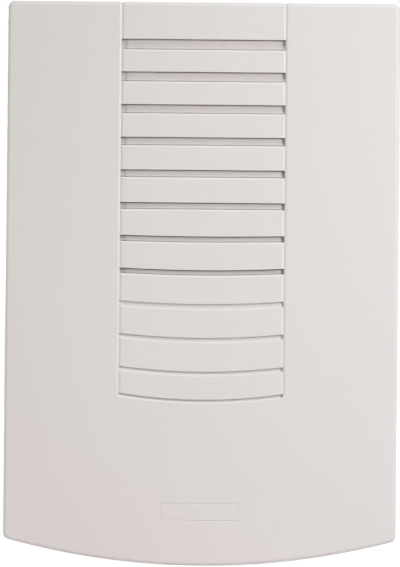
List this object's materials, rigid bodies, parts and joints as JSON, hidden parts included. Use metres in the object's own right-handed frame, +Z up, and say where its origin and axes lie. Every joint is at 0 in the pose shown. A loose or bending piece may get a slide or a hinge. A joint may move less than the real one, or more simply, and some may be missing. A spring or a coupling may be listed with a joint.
{
  "type": "doorbell chime box",
  "caption": "Upright wall-mounted doorbell chime: a louvred moulded cover with a curved bottom edge over a solenoid plunger that strikes a high and a low tone bar.",
  "frame": {"origin": "midway between the two wall screws, on the wall", "axes": "+Z up the wall, -Y out of the wall towards the room, +X to the right as seen from the front"},
  "size_m": [0.14, 0.048, 0.201],
  "materials": {
    "cover_plastic": "fine moulded texture, off-white",
    "base_plastic": "moulded, off-white",
    "yoke_steel": "zinc plated sheet",
    "screw_steel": "zinc plated",
    "bobbin_nylon": "natural nylon",
    "brass": "drawn brass",
    "winding_copper": "enamelled copper wire",
    "coil_tape": "yellow polyester tape",
    "brown_sleeve": "brown flexible sleeve",
    "blue_sleeve": "blue flexible sleeve",
    "bar_steel": "nickel plated, brushed along its length",
    "grommet_rubber": "matt black rubber",
    "block_plastic": "dark grey moulding",
    "spring_steel": "drawn spring wire",
    "core_steel": "turned steel",
    "striker_nylon": "natural nylon"
  },
  "bodies": {
    "base": {"base_plate": "base_plastic", "coil_yoke": "yoke_steel", "yoke_screws": "screw_steel", "coil_bobbin": "bobbin_nylon", "guide_tube": "brass", "coil_winding": "winding_copper", "coil_tape": "coil_tape", "coil_pins": "brass", "brown_lead": "brown_sleeve", "blue_lead": "blue_sleeve", "low_tone_bar": "bar_steel", "high_tone_bar": "bar_steel", "bar_grommets": "grommet_rubber", "bar_washers": "screw_steel", "bar_screws": "screw_steel", "terminal_block": "block_plastic", "terminal_clamps": "brass", "terminal_screws": "screw_steel", "block_screw": "screw_steel", "return_spring": "spring_steel"},
    "plunger": {"plunger_core": "core_steel", "dong_striker": "striker_nylon", "ding_striker": "striker_nylon"},
    "cover": {"front_cover": "cover_plastic"}
  },
  "joints": [
    {"name": "plunger_slide", "type": "slide", "parent": "base", "child": "plunger", "axis": [1, 0, 0], "range_m": [-0.002, 0.007], "stiffness_N_per_m": 60, "deforming": ["return_spring"]},
    {"name": "cover_pull", "type": "slide", "parent": "base", "child": "cover", "axis": [0, -1, 0], "range_m": [0, 0.06]}
  ]
}
